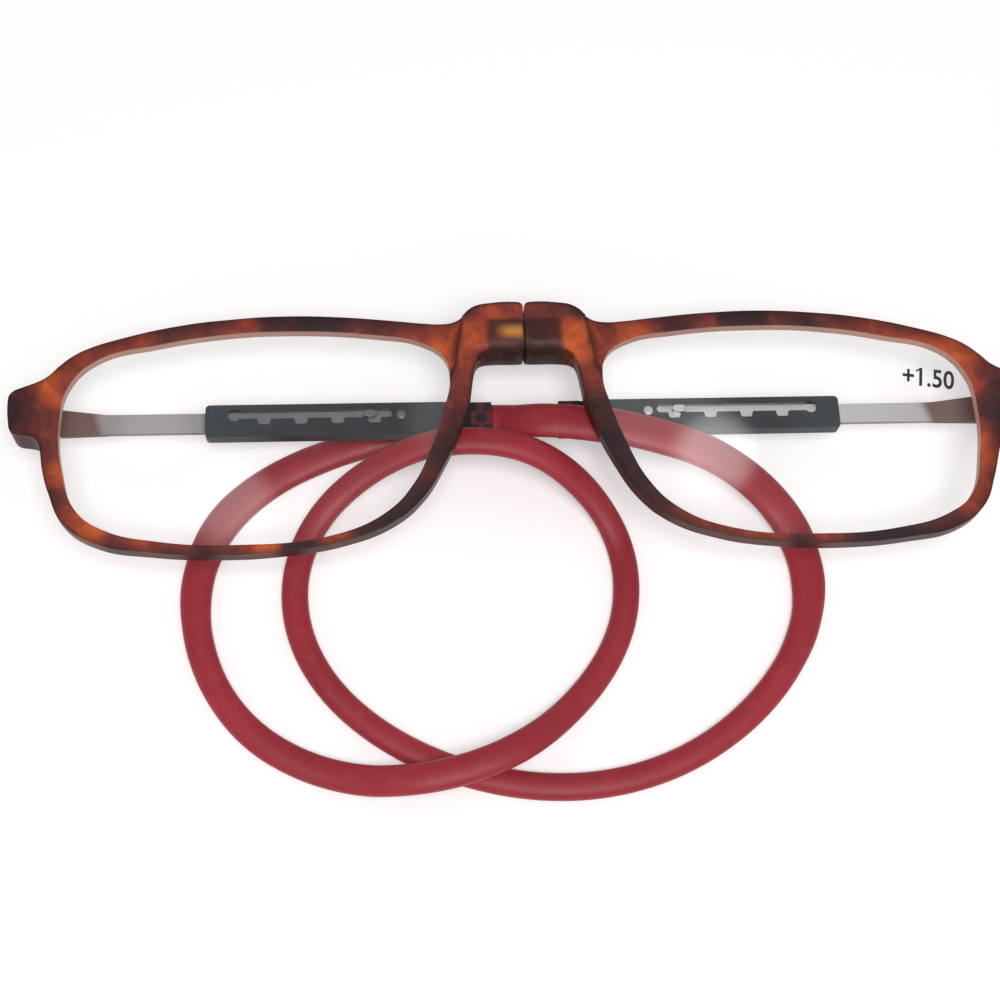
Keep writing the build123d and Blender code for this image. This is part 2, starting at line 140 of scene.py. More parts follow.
# Clouds of the tortoiseshell as x, y, reach in millimetres and darkness from 0 to 1
CLOUDS = {
    "left": [
        (-67.3, 2.9, 2.7, 0.88), (-66.8, -0.9, 1.2, 0.45), (-64.5, 7.2, 1.7, 0.0),
        (-63.4, 4.3, 1.2, 0.12), (-64.0, 10.2, 1.2, 0.2), (-61.2, 11.7, 1.9, 0.3),
        (-56.7, 13.4, 2.1, 0.42), (-52.0, 14.5, 1.9, 0.38), (-47.3, 14.3, 1.9, 0.68),
        (-43.3, 14.6, 2.1, 0.66), (-38.1, 15.1, 1.7, 0.3), (-33.9, 15.2, 2.4, 0.85),
        (-27.8, 15.2, 3.2, 0.98), (-21.6, 14.7, 2.1, 0.58), (-19.0, 13.4, 1.6, 0.6),
        (-15.6, 12.5, 1.9, 0.38), (-11.6, 11.7, 1.9, 0.22), (-9.6, 10.9, 1.6, 0.12),
        (-8.8, 4.9, 1.9, 0.5), (-9.9, 0.4, 2.1, 0.68), (-12.0, -4.6, 2.9, 0.85),
        (-16.1, -10.9, 3.5, 0.92), (-20.7, -14.3, 2.7, 0.95), (-25.8, -16.3, 2.1, 0.35),
        (-30.4, -17.2, 2.4, 1.0), (-34.5, -17.4, 1.5, 0.0), (-38.6, -17.6, 2.1, 0.5),
        (-42.5, -17.6, 1.9, 0.72), (-46.8, -17.1, 1.9, 0.6), (-50.2, -16.6, 1.6, 0.35),
        (-53.4, -16.0, 1.6, 0.55), (-57.0, -15.0, 1.6, 0.1), (-60.2, -12.6, 1.6, 0.35),
        (-61.7, -9.3, 1.6, 0.6), (-62.8, -6.5, 1.9, 0.3), (-63.4, -2.9, 1.6, 0.55),
        (-61.6, -5.8, 1.1, 0.1), (-5.0, 14.5, 3.0, 0.3), (-7.5, 16.9, 1.0, 0.85),
        (-7.2, 11.0, 1.8, 0.4), (-1.5, 17.2, 1.8, 0.4),
    ],
    "right": [
        (10.3, 12.1, 1.3, 0.35), (14.5, 12.8, 2.1, 0.15), (17.9, 12.7, 1.3, 0.3),
        (21.1, 13.2, 2.1, 0.85), (25.3, 13.7, 1.7, 0.42), (30.5, 14.6, 3.2, 0.95),
        (35.1, 14.5, 1.2, 0.5), (38.2, 14.5, 1.9, 0.85), (43.7, 13.4, 2.7, 0.62),
        (49.1, 12.3, 2.4, 0.4), (53.8, 10.7, 2.4, 0.3), (57.9, 9.8, 2.1, 0.12),
        (60.4, 7.5, 1.6, 0.2), (61.3, 4.4, 1.1, 0.12), (63.3, 3.4, 1.9, 0.8),
        (63.0, -0.1, 1.6, 0.92), (61.0, -0.8, 0.9, 0.3), (61.3, -3.8, 1.2, 0.2),
        (61.4, -7.4, 1.6, 0.25), (62.3, -8.9, 1.1, 0.7), (60.4, -11.7, 1.6, 0.4),
        (58.7, -13.9, 1.3, 0.3), (56.7, -16.0, 1.3, 0.6), (53.6, -16.6, 2.1, 0.85),
        (48.9, -17.2, 2.7, 0.95), (44.1, -17.8, 2.4, 0.98), (39.4, -18.4, 2.1, 0.3),
        (35.2, -18.5, 1.6, 0.75), (31.5, -18.4, 1.6, 0.4), (27.5, -17.9, 1.9, 0.45),
        (23.7, -16.0, 1.9, 0.45), (20.6, -13.8, 1.9, 0.55), (17.5, -10.9, 1.9, 0.8),
        (14.5, -7.3, 2.7, 0.95), (12.1, -2.1, 2.9, 0.98), (10.4, 2.3, 2.1, 0.85),
        (9.5, 6.0, 1.6, 0.5), (11.1, 6.8, 1.1, 0.85), (7.0, 13.0, 2.2, 0.05),
        (8.0, 16.6, 1.2, 0.9), (7.2, 10.0, 1.5, 0.1), (3.0, 17.4, 2.0, 0.55),
        (66.5, 3.0, 2.6, 0.9),
    ],
}
# The darkness between the clouds, and how much it counts against them
CLOUD_BASE = 0.5
CLOUD_BASE_WEIGHT = 0.25

# The outline of a front, clockwise from the top of its seam, in three runs
UPPER_OUTLINE = [
    (0.05, 17.3), (0.45, 17.85), (1.2, 17.98), (4.6, 17.85), (6.6, 17.45), (7.7, 16.75),
    (8.6, 15.75), (9.7, 15.1), (11.2, 14.85), (13.5, 14.95), (17.03, 15.35), (24.99, 16.11),
    (33.01, 16.35), (40, 15.95), (46.48, 15.15), (54.5, 13.29), (59.0, 11.75), (61.0, 10.6),
    (62.6, 9.2), (64.0, 7.75), (65.4, 6.95), (67.3, 6.2), (68.3, 5.75), (68.9, 5.05),
    (69.0, 4.2), (68.75, 1.0), (68.55, 0.1), (67.9, -0.5), (66.6, -0.75), (65.3, -1.1),
    (64.65, -1.9),
]
CORNER_OUTLINES = {
    "right": [
        (64.15, -2.95), (63.3, -5.4), (62.15, -9.0), (60.3, -13.0), (56.4, -15.95),
        (49.52, -17.4),
    ],
    "left": [
        (64.35, -3.2), (64.0, -5.5), (62.98, -9.0), (60.92, -13.3), (56.51, -16.19),
        (49.52, -17.5),
    ],
}
LOWER_OUTLINE = [
    (40.58, -18.05), (32.5, -17.71), (24.5, -16.4), (18.0, -13.78),
    (14.22, -10.41), (11.3, -5.6), (9.29, -1.19), (7.86, 3.0), (7.35, 6.0), (7.1, 7.6),
    (6.5, 9.2), (5.6, 10.15), (4.3, 10.6), (1.2, 10.62), (0.45, 10.75), (0.05, 11.3),
    (0.05, 12.1), (0.05, 14.3), (0.05, 16.5),
]
# The lens openings, clockwise from the upper nose corner
LENS_OUTLINES = {
    "right": [
        (13.96, 12.10), (20.47, 13.39), (32.98, 14.10), (41.06, 13.67), (49.2, 12.34),
        (57.39, 10.0), (60.49, 6.22), (61.25, 1.50), (60.7, -5.5), (58.75, -11.45), (55.15, -14.2),
        (48.8, -15.97), (38.98, -16.70), (25.45, -15.41), (18.99, -12.39), (15.49, -8.51),
        (13.10, -3.39), (11.16, 2.49), (10.35, 6.80), (11.06, 9.91),
    ],
    "left": [
        (13.96, 12.10), (20.47, 13.39), (32.98, 14.10), (41.06, 13.67), (49.4, 12.34),
        (57.8, 10.0), (61.2, 6.3), (62.15, 1.50), (61.5, -5.61), (59.4, -11.5), (55.7, -14.30),
        (49.0, -15.99), (38.98, -16.70), (25.45, -15.41), (18.99, -12.39), (15.49, -8.51),
        (13.10, -3.39), (11.16, 2.49), (10.35, 6.80), (11.06, 9.91),
    ],
}

# The lenses: how far they sit in their groove, their edge's level, and their dome
LENS_SEAT = 0.12
LENS_POINTS = 160
LENS_EDGE_Z = 3.15
LENS_MIDDLE = (35.775, -1.3)
LENS_REACH = (26, 16)
LENS_RINGS = 3
LENS_RING_WIDTH = 3.2
LENS_DOME = 0.4
LENS_THICKNESS = 1.2

# The printed strength: its width and height, its place and turn, and its letters' stroke and relief
PRINT_SIZE = (7.1, 2.8)
PRINT_PLACE = (51.4, 4.9, 3.33)
PRINT_TURN = -8.2
PRINT_STROKE = 0.018
PRINT_SPACING = 1.02
PRINT_RELIEF = 0.004
PRINT_RELIEF_SCALE = 3
# The flag of the figure one
FLAG_SIZE = (0.72, 0.24, 0.012)
FLAG_PLACE = (2.12, 2.4, 0.012)
FLAG_TURN = 38

# CAD pieces that are softened: slack for merging, in metres, angles in degrees, and which
# faces count as side faces, which get painted shade, by how steeply they stand
NODE_SLACK = 2e-6
NODE_FLAT = 1
NODE_SHARP = 35
SIDE_FACE_FADE = (0.3, 0.6)
# How much more a broad face counts than a narrow one where the shading is evened out
BROAD_FACE_WEIGHT = 60

# The band's width at distances along it from the left cuff
BAND_WIDTHS = [
    (0, 4.7), (8, 4.9), (16, 5.05), (46, 4.95), (54, 4.75), (62, 4.1), (68, 3.8), (86, 3.65),
    (110, 3.65), (130, 3.55), (165, 3.6), (172, 3.7), (196, 3.9), (204, 3.95), (212, 3.65),
    (228, 3.6), (240, 3.75), (252, 4.1), (270, 4.1), (284, 3.95), (296, 3.75), (304, 3.85),
    (312, 4.3), (322, 4.8), (334, 4.5), (346, 4.0), (358, 3.9), (364, 4.2), (372, 4.7),
]
# Its thickness, how full its oval is, and the least gap between it and the table
BAND_THICKNESS = 2.3
BAND_FULLNESS = 0.88
BAND_CLEARANCE = 0.01
# How finely it is drawn, along its route and around it
BAND_STEPS = 7
BAND_FACETS = 28

# The neckband's route, from the left cuff to the right one, as in the CAD model. LOW is the level
# of the runs that lie on the table.
LOW = -7.4
BAND_ROUTE = [
    (-4.6, 3.2, -3), (-3.1, 3.2, -3), (-0.9, 2.5, -1.5), (1.9, 1.95, -0.15), (5.2, 1.62, 0.05),
    (10.5, 1.1, -0.2), (17.5, -0.6, -0.35), (24.98, -2.86, -1.3), (31.96, -6.33, -4.9),
    (36.55, -11.4, LOW), (38.4, -18.5, LOW), (37.29, -25.9, LOW), (33.22, -33.09, LOW),
    (26.8, -39.54, LOW), (18.39, -44.53, LOW), (8.46, -47.12, LOW), (-1.75, -46.93, LOW),
    (-11.82, -44.3, LOW), (-20.6, -39.6, LOW), (-27.53, -33.12, LOW), (-31.5, -25.2, LOW),
    (-31.92, -16.62, LOW), (-28.5, -9.07, -6.6), (-22.46, -4.09, -4.2), (-15, -1.5, -1),
    (-8, -0.83, 0.1), (-1.08, -1.62, -0.3), (4.49, -3.89, -2.2), (9.18, -7.55, -5.2),
    (12.34, -12.53, LOW), (13.34, -18.99, LOW), (12.2, -25.85, LOW), (8.6, -32.42, LOW),
    (2.86, -38.5, -6.6), (-3.27, -42.84, -4.4), (-9.94, -45.23, -4.3), (-16.41, -46.18, -4.8),
    (-23.3, -45.72, -6.8), (-30.75, -43.38, LOW), (-37.39, -39.15, LOW), (-42.23, -32.81, LOW),
    (-44.8, -25.32, LOW), (-45, -17.22, LOW), (-41.86, -9.51, LOW), (-35.64, -3.73, LOW),
    (-27.6, 0.24, LOW), (-18.6, 2.61, LOW), (-10.4, 4.1, LOW), (-4.4, 4.7, -6.9),
    (-0.5, 4.15, -5.1), (3.1, 3.2, -3), (4.6, 3.2, -3),
]


def metres(*point):
    """A point in millimetres as a vector in metres."""
    return Vector(point) * MM


def colour(red, green, blue):
    """A colour as a screen shows it, in the linear values that a shader takes."""
    def linear(value):
        share = value / 255
        return share / 12.92 if share <= 0.04045 else ((share + 0.055) / 1.055) ** 2.4
    return (linear(red), linear(green), linear(blue), 1.0)


def ramp(value, start, end):
    """A smooth step from 0 at start to 1 at end."""
    share = min(max((value - start) / (end - start), 0), 1)
    return share * share * (3 - 2 * share)


def turned(degrees):
    """A turn in the plane of the front."""
    return Matrix.Rotation(radians(degrees), 3, "Z")


# Nodes


class Wiring:
    """Short calls for the nodes of one node tree."""

    def __init__(self, tree):
        self.nodes = tree.nodes
        self.links = tree.links

    def feed(self, value, socket):
        """Links an output to a socket, or sets the socket to a plain value."""
        if isinstance(value, bpy.types.NodeSocket):
            self.links.new(value, socket)
        else:
            socket.default_value = value

    def fed(self, kind, values):
        """A new node with some of its sockets fed, by name."""
        node = self.nodes.new(kind)
        for label, value in values.items():
            self.feed(value, node.inputs[label])
        return node

    def math(self, operation, *values):
        """One operation on up to three values."""
        node = self.nodes.new("ShaderNodeMath")
        node.operation = operation
        for value, socket in zip(values, node.inputs):
            self.feed(value, socket)
        return node.outputs[0]

    def inverse(self, value):
        """1 less a value."""
        return self.math("SUBTRACT", 1.0, value)

    def fade(self, value, start, end, low=0.0, high=1.0):
        """A smooth step between two values."""
        node = self.fed("ShaderNodeMapRange", {
            "Value": value, "From Min": start, "From Max": end, "To Min": low, "To Max": high,
        })
        node.interpolation_type = "SMOOTHSTEP"
        return node.outputs["Result"]

    def window(self, value, rise, fall):
        """A mask that fades in over one span and out over another."""
        return self.math("MULTIPLY", self.fade(value, *rise), self.inverse(self.fade(value, *fall)))

    def noise(self, vector, scale, detail=3, roughness=0.5, distortion=0.0):
        """Soft noise from 0 to 1."""
        node = self.fed("ShaderNodeTexNoise", {
            "Vector": vector, "Scale": scale, "Detail": detail, "Roughness": roughness,
            "Distortion": distortion,
        })
        return node.outputs["Fac"]


# Camera and light


def place_camera():
    """The camera at the photograph's viewing angle."""
    data = bpy.data.cameras.new("viewpoint")
    data.lens = CAMERA_LENS
    data.sensor_width = CAMERA_SENSOR
    data.clip_start, data.clip_end = CAMERA_CLIP
    camera = bpy.data.objects.new("viewpoint", data)
    bpy.context.scene.collection.objects.link(camera)
    turn = Matrix((CAMERA_RIGHT, CAMERA_UP, CAMERA_BACK)).transposed().to_4x4()
    camera.matrix_world = Matrix.Translation(metres(*CAMERA_PLACE)) @ turn
    bpy.context.scene.camera = camera


def place_lamp():
    """A square soft box that faces the glasses from in front."""
    data = bpy.data.lights.new("soft_box", "AREA")
    data.shape = "SQUARE"
    data.size = LAMP_SIZE
    data.energy = LAMP_POWER
    lamp = bpy.data.objects.new("soft_box", data)
    bpy.context.scene.collection.objects.link(lamp)
    lamp.location = LAMP_PLACE
    facing = Vector(LAMP_TARGET) - Vector(LAMP_PLACE)
    lamp.rotation_euler = facing.to_track_quat("-Z", "Y").to_euler()


def light_sky():
    """A plain sky, paler low down, with pale patches that the lenses mirror."""
    world = bpy.data.worlds.new("plain_sky")
    bpy.context.scene.world = world
    world.use_nodes = True
    sky = Wiring(world.node_tree)
    background = sky.nodes["Background"]
    background.inputs["Color"].default_value = (1, 1, 1, 1)
    direction = sky.nodes.new("ShaderNodeTexCoord").outputs["Generated"]
    height = sky.fed("ShaderNodeSeparateXYZ", {"Vector": direction}).outputs["Z"]
    strength = sky.fade(height, *SKY_FADE, SKY_LOW, SKY_HIGH)
    for middle, reach, pale in SKY_PATCHES:
        nearness = sky.nodes.new("ShaderNodeVectorMath")
        nearness.operation = "DOT_PRODUCT"
        sky.feed(direction, nearness.inputs[0])
        sky.feed(Vector(middle).normalized(), nearness.inputs[1])
        edge, core = cos(radians(reach)), cos(radians(reach * PATCH_CORE))
        patch = sky.fade(nearness.outputs["Value"], edge, core, 0, pale)
        strength = sky.math("ADD", strength, patch)
    sky.feed(strength, background.inputs["Strength"])


def lay_floor():
    """A plain white table top that keeps the object's shadow."""
    bm = bmesh.new()
    bmesh.ops.create_grid(bm, x_segments=1, y_segments=1, size=TABLE_REACH)
    bmesh.ops.translate(bm, verts=bm.verts, vec=(0, 0, TABLE_Z * MM))
    finished(bm, "table_top", white_table(), smooth=False)


# Meshes


def finished(bm, name, material, smooth=True):
    """A bmesh as an object of the scene, at the origin."""
    mesh = bpy.data.meshes.new(name)
    bm.to_mesh(mesh)
    bm.free()
    mesh.polygons.foreach_set("use_smooth", [smooth] * len(mesh.polygons))
    mesh.materials.append(material)
    piece = bpy.data.objects.new(name, mesh)
    bpy.context.scene.collection.objects.link(piece)
    return piece


def level_normals(piece):
    """Keeps broad faces flat to the eye and lets the narrow rounded ones turn."""
    even = piece.modifiers.new("even_shading", "WEIGHTED_NORMAL")
    even.weight = BROAD_FACE_WEIGHT
    even.keep_sharp = False


def mesh_of(curve):
    """The mesh that a curve or text shows. The curve itself is taken away."""
    guide = bpy.data.objects.new(curve.name, curve)
    bpy.context.scene.collection.objects.link(guide)
    bpy.context.view_layer.update()
    mesh = bpy.data.meshes.new_from_object(guide)
    bpy.data.objects.remove(guide)
    bpy.data.curves.remove(curve)
    return mesh


def line_through(points):
    """Points in order on the smooth closed curve through the ones given."""
    curve = bpy.data.curves.new("outline", "CURVE")
    curve.dimensions = "3D"
    curve.resolution_u = OUTLINE_STEPS
    spline = curve.splines.new("BEZIER")
    spline.bezier_points.add(len(points) - 1)
    for knot, (x, y) in zip(spline.bezier_points, points):
        knot.co = (x, y, 0)
        knot.handle_left_type = "AUTO"
        knot.handle_right_type = "AUTO"
    spline.use_cyclic_u = True
    mesh = mesh_of(curve)
    line = [vertex.co.to_2d() for vertex in mesh.vertices]
    bpy.data.meshes.remove(mesh)
    return line


def run_lengths(line):
    """The lengths of the runs of a closed line."""
    return [(b - a).length for a, b in zip(line, line[1:] + line[:1])]


def spaced(line, count):
    """A number of evenly spaced points on a closed line."""
    runs = run_lengths(line)
    step = sum(runs) / count
    placed, index, gone = [], 0, 0.0
    for number in range(count):
        wanted = number * step
        while gone + runs[index] < wanted:
            gone += runs[index]
            index += 1
        after = line[(index + 1) % len(line)]
        share = (wanted - gone) / max(runs[index], SHORTEST_RUN)
        placed.append(line[index].lerp(after, share))
    return placed


def nearest_table(line):
    """A search tree of a line's points."""
    tree = KDTree(len(line))
    for number, point in enumerate(line):
        tree.insert((point.x, point.y, 0), number)
    tree.balance()
    return tree


def distance(tree, place):
    """How far a place is from the nearest point of a tree, seen from in front."""
    return tree.find((place.x, place.y, 0))[2]


def add_loop(bm, points, z):
    """A closed loop of edges at one level, in millimetres."""
    verts = [bm.verts.new((p.x, p.y, z)) for p in points]
    return [bm.edges.new((a, b)) for a, b in zip(verts, verts[1:] + verts[:1])]


def cut_along(bm, window, start, end):
    """Cuts the faces in a window along the upright plane through two points of the front."""
    left, right, low, high = window
    faces = []
    for face in bm.faces:
        middle = face.calc_center_median()
        if left < middle.x < right and low < middle.y < high:
            faces.append(face)
    run = Vector((end[0] - start[0], end[1] - start[1], 0)).normalized()
    edges = {edge for face in faces for edge in face.edges}
    verts = {vert for face in faces for vert in face.verts}
    bmesh.ops.bisect_plane(
        bm, geom=faces + list(edges) + list(verts), dist=CUT_SLACK,
        plane_co=(start[0], start[1], 0), plane_no=(run.y, -run.x, 0),
    )


def on_bridge(point):
    """Whether a point of the front lies on the bridge block, inside its crease."""
    def inside(start, end):
        run_x, run_y = end[0] - start[0], end[1] - start[1]
        return run_x * (point.y - start[1]) - run_y * (point.x - start[0]) < 0
    upper, foot, end = CREASE
    if point.y <= BRIDGE_LOW_CUT or not inside(upper, foot):
        return False
    return point.y > foot[1] or inside(foot, end)


def raise_faces(bm, faces, move):
    """Extrudes faces and gives what is new the height that a rule says."""
    out = bmesh.ops.extrude_face_region(bm, geom=faces)["geom"]
    for item in out:
        if isinstance(item, bmesh.types.BMVert):
            item.co.z = move(item.co)


def flat_faces(bm, z, test):
    """Faces that lie at a level and whose middles pass a test."""
    chosen = []
    for face in bm.faces:
        level = all(abs(vert.co.z - z) < LEVEL_SLACK for vert in face.verts)
        if level and test(face.calc_center_median()):
            chosen.append(face)
    return chosen


def soften(bm, edges, size, segments):
    """Rounds edges off."""
    bmesh.ops.bevel(
        bm, geom=edges, offset=size, offset_type="OFFSET", segments=segments, profile=0.5,
        affect="EDGES", material=-1, clamp_overlap=True,
    )


def off_crease(point):
    """How far a point of the front is from the bridge's crease."""
    gaps = []
    for start, end in zip(CREASE, CREASE[1:]):
        a, b = Vector(start), Vector(end)
        share = min(max((point - a).dot(b - a) / (b - a).length_squared, 0), 1)
        gaps.append((point - a.lerp(b, share)).length)
    return min(gaps)


def cloud_darkness(side, x, y):
    """How dark the tortoiseshell is at a place, from 0 to 1."""
    total = CLOUD_BASE_WEIGHT
    near = CLOUD_BASE * total
    for cloud_x, cloud_y, reach, dark in CLOUDS[side]:
        gap = Vector((x - cloud_x, y - cloud_y)).length / reach
        weight = exp(-gap * gap)
        near += dark * weight
        total += weight
    return near / total


def mark_front(bm, side, outer, inside):
    """Notes at each vertex how near it is to an edge and how dark its cloud is."""
    names = ("rim_edge", "inner_wall", "crease", "cloud")
    rim, wall, fold, shade = (bm.verts.layers.float.new(name) for name in names)
    seam_x, seam_y = SEAM_CORNER
    outside = nearest_table([p for p in outer if p.x > seam_x or p.y > seam_y])
    for vert in bm.verts:
        vert[rim] = 1 - ramp(distance(outside, vert.co), *RIM_EDGE_FADE)
        vert[wall] = 1 - ramp(distance(inside, vert.co), *INNER_WALL_FADE)
        vert[fold] = 1 - ramp(off_crease(vert.co.to_2d()), *CREASE_FADE)
        vert[shade] = cloud_darkness(side, vert.co.x * SIDES[side], vert.co.y)


def crown_front(bm, outer, inside):
    """Lowers the front face towards its edges, most of all at the bridge's foot."""
    outside = nearest_table(outer)
    foot_x, foot_y = BRIDGE_FOOT
    foot = nearest_table([p for p in outer if p.x < foot_x and p.y < foot_y])
    for vert in bm.verts:
        if vert.co.z < FRONT_Z - LEVEL_SLACK:
            continue
        near = min(distance(outside, vert.co), distance(inside, vert.co))
        fall = CROWN * (1 - ramp(near, 0, SKIRT))
        rest = BRIDGE_FOOT_ROUND - distance(foot, vert.co)
        if rest > 0:
            fall += BRIDGE_FOOT_ROUND - (BRIDGE_FOOT_ROUND**2 - rest * rest) ** 0.5
        vert.co.z -= fall


def flush_edges(bm):
    """Level edges in the upright walls that only part two faces in one plane."""
    return [
        e for e in bm.edges
        if len(e.link_faces) == 2 and e.calc_face_angle(0) < radians(FLAT_WALL)
        and abs(e.link_faces[0].normal.z) < UPRIGHT
        and abs(e.verts[0].co.z - e.verts[1].co.z) < SAME_LEVEL
    ]


def rim_corners(bm, inside, at_opening):
    """The sharp outward edges of a front, those at the lens opening or all the others."""
    chosen = []
    for edge in bm.edges:
        if len(edge.link_faces) != 2 or not edge.is_convex:
            continue
        middle = (edge.verts[0].co + edge.verts[1].co) / 2
        sharp = edge.calc_face_angle(0) > radians(SHARP_RIM)
        if sharp and (distance(inside, middle) < BY_OPENING) == at_opening:
            chosen.append(edge)
    return chosen


def mould_front(side, material):
    """A front rim with its bridge block and end piece, from its two outlines."""
    outline = line_through(UPPER_OUTLINE + CORNER_OUTLINES[side] + LOWER_OUTLINE)
    for point in outline:
        point.x = max(point.x, SEAM_X)
    opening = line_through(LENS_OUTLINES[side])
    outer, inner = (
        spaced(line, round(sum(run_lengths(line)) / STATION)) for line in (outline, opening)
    )
    inside = nearest_table(inner)
    bm = bmesh.new()
    edges = add_loop(bm, outer, FRONT_Z) + add_loop(bm, inner, FRONT_Z)
    bmesh.ops.triangle_fill(
        bm, edges=edges, use_beauty=True, use_dissolve=False, normal=(0, 0, 1),
    )
    bmesh.ops.inset_region(
        bm, faces=bm.faces[:], thickness=SKIRT, use_even_offset=True, use_boundary=True,
    )
    for x in BLOCK_COLUMNS:
        cut_along(bm, BLOCK_WINDOW, (x, 0), (x, 1))
    for y in BLOCK_ROWS:
        cut_along(bm, BLOCK_WINDOW, (0, y), (1, y))
    for window, start, end in zip(CREASE_WINDOWS, CREASE, CREASE[1:]):
        cut_along(bm, window, start, end)
    cut_along(bm, LOW_CUT_WINDOW, (0, BRIDGE_LOW_CUT), (1, BRIDGE_LOW_CUT))
    cut_along(bm, OUTBOARD_WINDOW, (END_BLOCK_START, 0), (END_BLOCK_START, 1))

    def bridge_back(co):
        return BACK_Z - (BACK_Z - BRIDGE_BACK_Z) * ramp(co.y, *BRIDGE_BACK_FADE)

    def bridge_front(co):
        return FRONT_Z + BRIDGE_PROUD * ramp(co.y, *BRIDGE_FADE)

    def on_end_block(co):
        return co.x > END_BLOCK_START

    raise_faces(bm, bm.faces[:], lambda co: BACK_Z)
    raise_faces(bm, flat_faces(bm, BACK_Z, on_bridge), bridge_back)
    raise_faces(bm, flat_faces(bm, BACK_Z, on_end_block), lambda co: END_BLOCK_BACK_Z)
    raise_faces(bm, flat_faces(bm, FRONT_Z, on_bridge), bridge_front)
    bmesh.ops.remove_doubles(bm, verts=bm.verts, dist=MERGE_SLACK)
    bmesh.ops.recalc_face_normals(bm, faces=bm.faces)
    bmesh.ops.dissolve_edges(bm, edges=flush_edges(bm), use_verts=False)
    crown_front(bm, outer, inside)
    soften(bm, rim_corners(bm, inside, False), OUTER_ROUND, 3)
    soften(bm, rim_corners(bm, inside, True), INNER_ROUND, 2)
    mark_front(bm, side, outer, inside)
    bmesh.ops.scale(bm, verts=bm.verts, vec=(SIDES[side] * MM, MM, MM))
    bmesh.ops.recalc_face_normals(bm, faces=bm.faces)
    piece = finished(bm, f"moulded_front_{side}", material)
    level_normals(piece)
    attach(piece, f"front_{side}")
    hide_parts(f"front_rim_{side}")


def cast_lens(side, material):
    """A lens with a faint dome, seated in its rim's groove."""
    middle, reach = Vector(LENS_MIDDLE), Vector(LENS_REACH)
    opening = spaced(line_through(LENS_OUTLINES[side]), LENS_POINTS)
    bm = bmesh.new()
    add_loop(bm, [p + (p - middle).normalized() * LENS_SEAT for p in opening], LENS_EDGE_Z)
    sheet = bmesh.ops.contextual_create(bm, geom=bm.edges[:])["faces"]
    for _ in range(LENS_RINGS):
        bmesh.ops.inset_region(bm, faces=sheet, thickness=LENS_RING_WIDTH, use_even_offset=True)
    for vert in bm.verts:
        out = Vector(((vert.co.x - middle.x) / reach.x, (vert.co.y - middle.y) / reach.y))
        vert.co.z += LENS_DOME * (1 - min(out.length, 1) ** 2)
    raise_faces(bm, bm.faces[:], lambda co: co.z - LENS_THICKNESS)
    bmesh.ops.scale(bm, verts=bm.verts, vec=(SIDES[side] * MM, MM, MM))
    bmesh.ops.recalc_face_normals(bm, faces=bm.faces)
    piece = finished(bm, f"clear_lens_{side}", material)
    level_normals(piece)
    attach(piece, f"front_{side}")
    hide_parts(f"lens_{side}")


def print_strength(material):
    """The strength printed on the right-hand lens, as thin letters on its face."""
    text = bpy.data.curves.new("strength", "FONT")
    text.body = "+1.50"
    text.size = 1
    text.extrude = PRINT_RELIEF
    text.offset = PRINT_STROKE
    text.space_character = PRINT_SPACING
    mesh = mesh_of(text)
    bm = bmesh.new()
    bm.from_mesh(mesh)
    bpy.data.meshes.remove(mesh)
    low_x, low_y = (min(vert.co[axis] for vert in bm.verts) for axis in (0, 1))
    high_x, high_y = (max(vert.co[axis] for vert in bm.verts) for axis in (0, 1))
    width, height = PRINT_SIZE
    stretch = (width / (high_x - low_x), height / (high_y - low_y), PRINT_RELIEF_SCALE)
    bmesh.ops.translate(bm, verts=bm.verts, vec=(-low_x, -low_y, 0))
    bmesh.ops.scale(bm, verts=bm.verts, vec=stretch)
    flag = bmesh.ops.create_cube(bm, size=1)["verts"]
    bmesh.ops.scale(bm, verts=flag, vec=FLAG_SIZE)
    bmesh.ops.rotate(bm, verts=flag, cent=(0, 0, 0), matrix=turned(FLAG_TURN))
    bmesh.ops.translate(bm, verts=flag, vec=FLAG_PLACE)
    bmesh.ops.rotate(bm, verts=bm.verts, cent=(0, 0, 0), matrix=turned(PRINT_TURN))
    bmesh.ops.translate(bm, verts=bm.verts, vec=PRINT_PLACE)
    bmesh.ops.scale(bm, verts=bm.verts, vec=(MM, MM, MM))
    piece = finished(bm, "printed_strength", material, smooth=False)
    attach(piece, "front_right")


def soften_node(node, body, size, material):
    """A copy of a CAD piece with its edges rounded off, in place of the piece."""
    bm = bmesh.new()
    bm.from_mesh(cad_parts[node].data)
    bmesh.ops.remove_doubles(bm, verts=bm.verts, dist=NODE_SLACK)
    bmesh.ops.dissolve_limit(bm, angle_limit=radians(NODE_FLAT), verts=bm.verts, edges=bm.edges)
    bmesh.ops.recalc_face_normals(bm, faces=bm.faces)
    # Side faces are noted for the painted shade that the materials lay on them
    side_face = bm.faces.layers.float.new("side_face")
    for face in bm.faces:
        face[side_face] = 1 - ramp(abs(face.normal.z), *SIDE_FACE_FADE)
    sharp = [
        e for e in bm.edges
        if len(e.link_faces) == 2 and e.calc_face_angle(0) > radians(NODE_SHARP)
    ]
    soften(bm, sharp, size * MM, 2)
    piece = finished(bm, f"{node}_finished", material)
    level_normals(piece)
    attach(piece, body)
    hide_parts(node)


def band_line():
    """The points that the neckband follows, read from the smooth spline of its route."""
    curve = bpy.data.curves.new("band_line", "CURVE")
    curve.dimensions = "3D"
    curve.resolution_u = BAND_STEPS
    spline = curve.splines.new("NURBS")
    spline.points.add(len(BAND_ROUTE) - 1)
    for knot, place in zip(spline.points, BAND_ROUTE):
        knot.co = (*metres(*place), 1)
    spline.order_u = 3
    spline.use_endpoint_u = True
    mesh = mesh_of(curve)
    line = [vertex.co.copy() for vertex in mesh.vertices]
    bpy.data.meshes.remove(mesh)
    return line


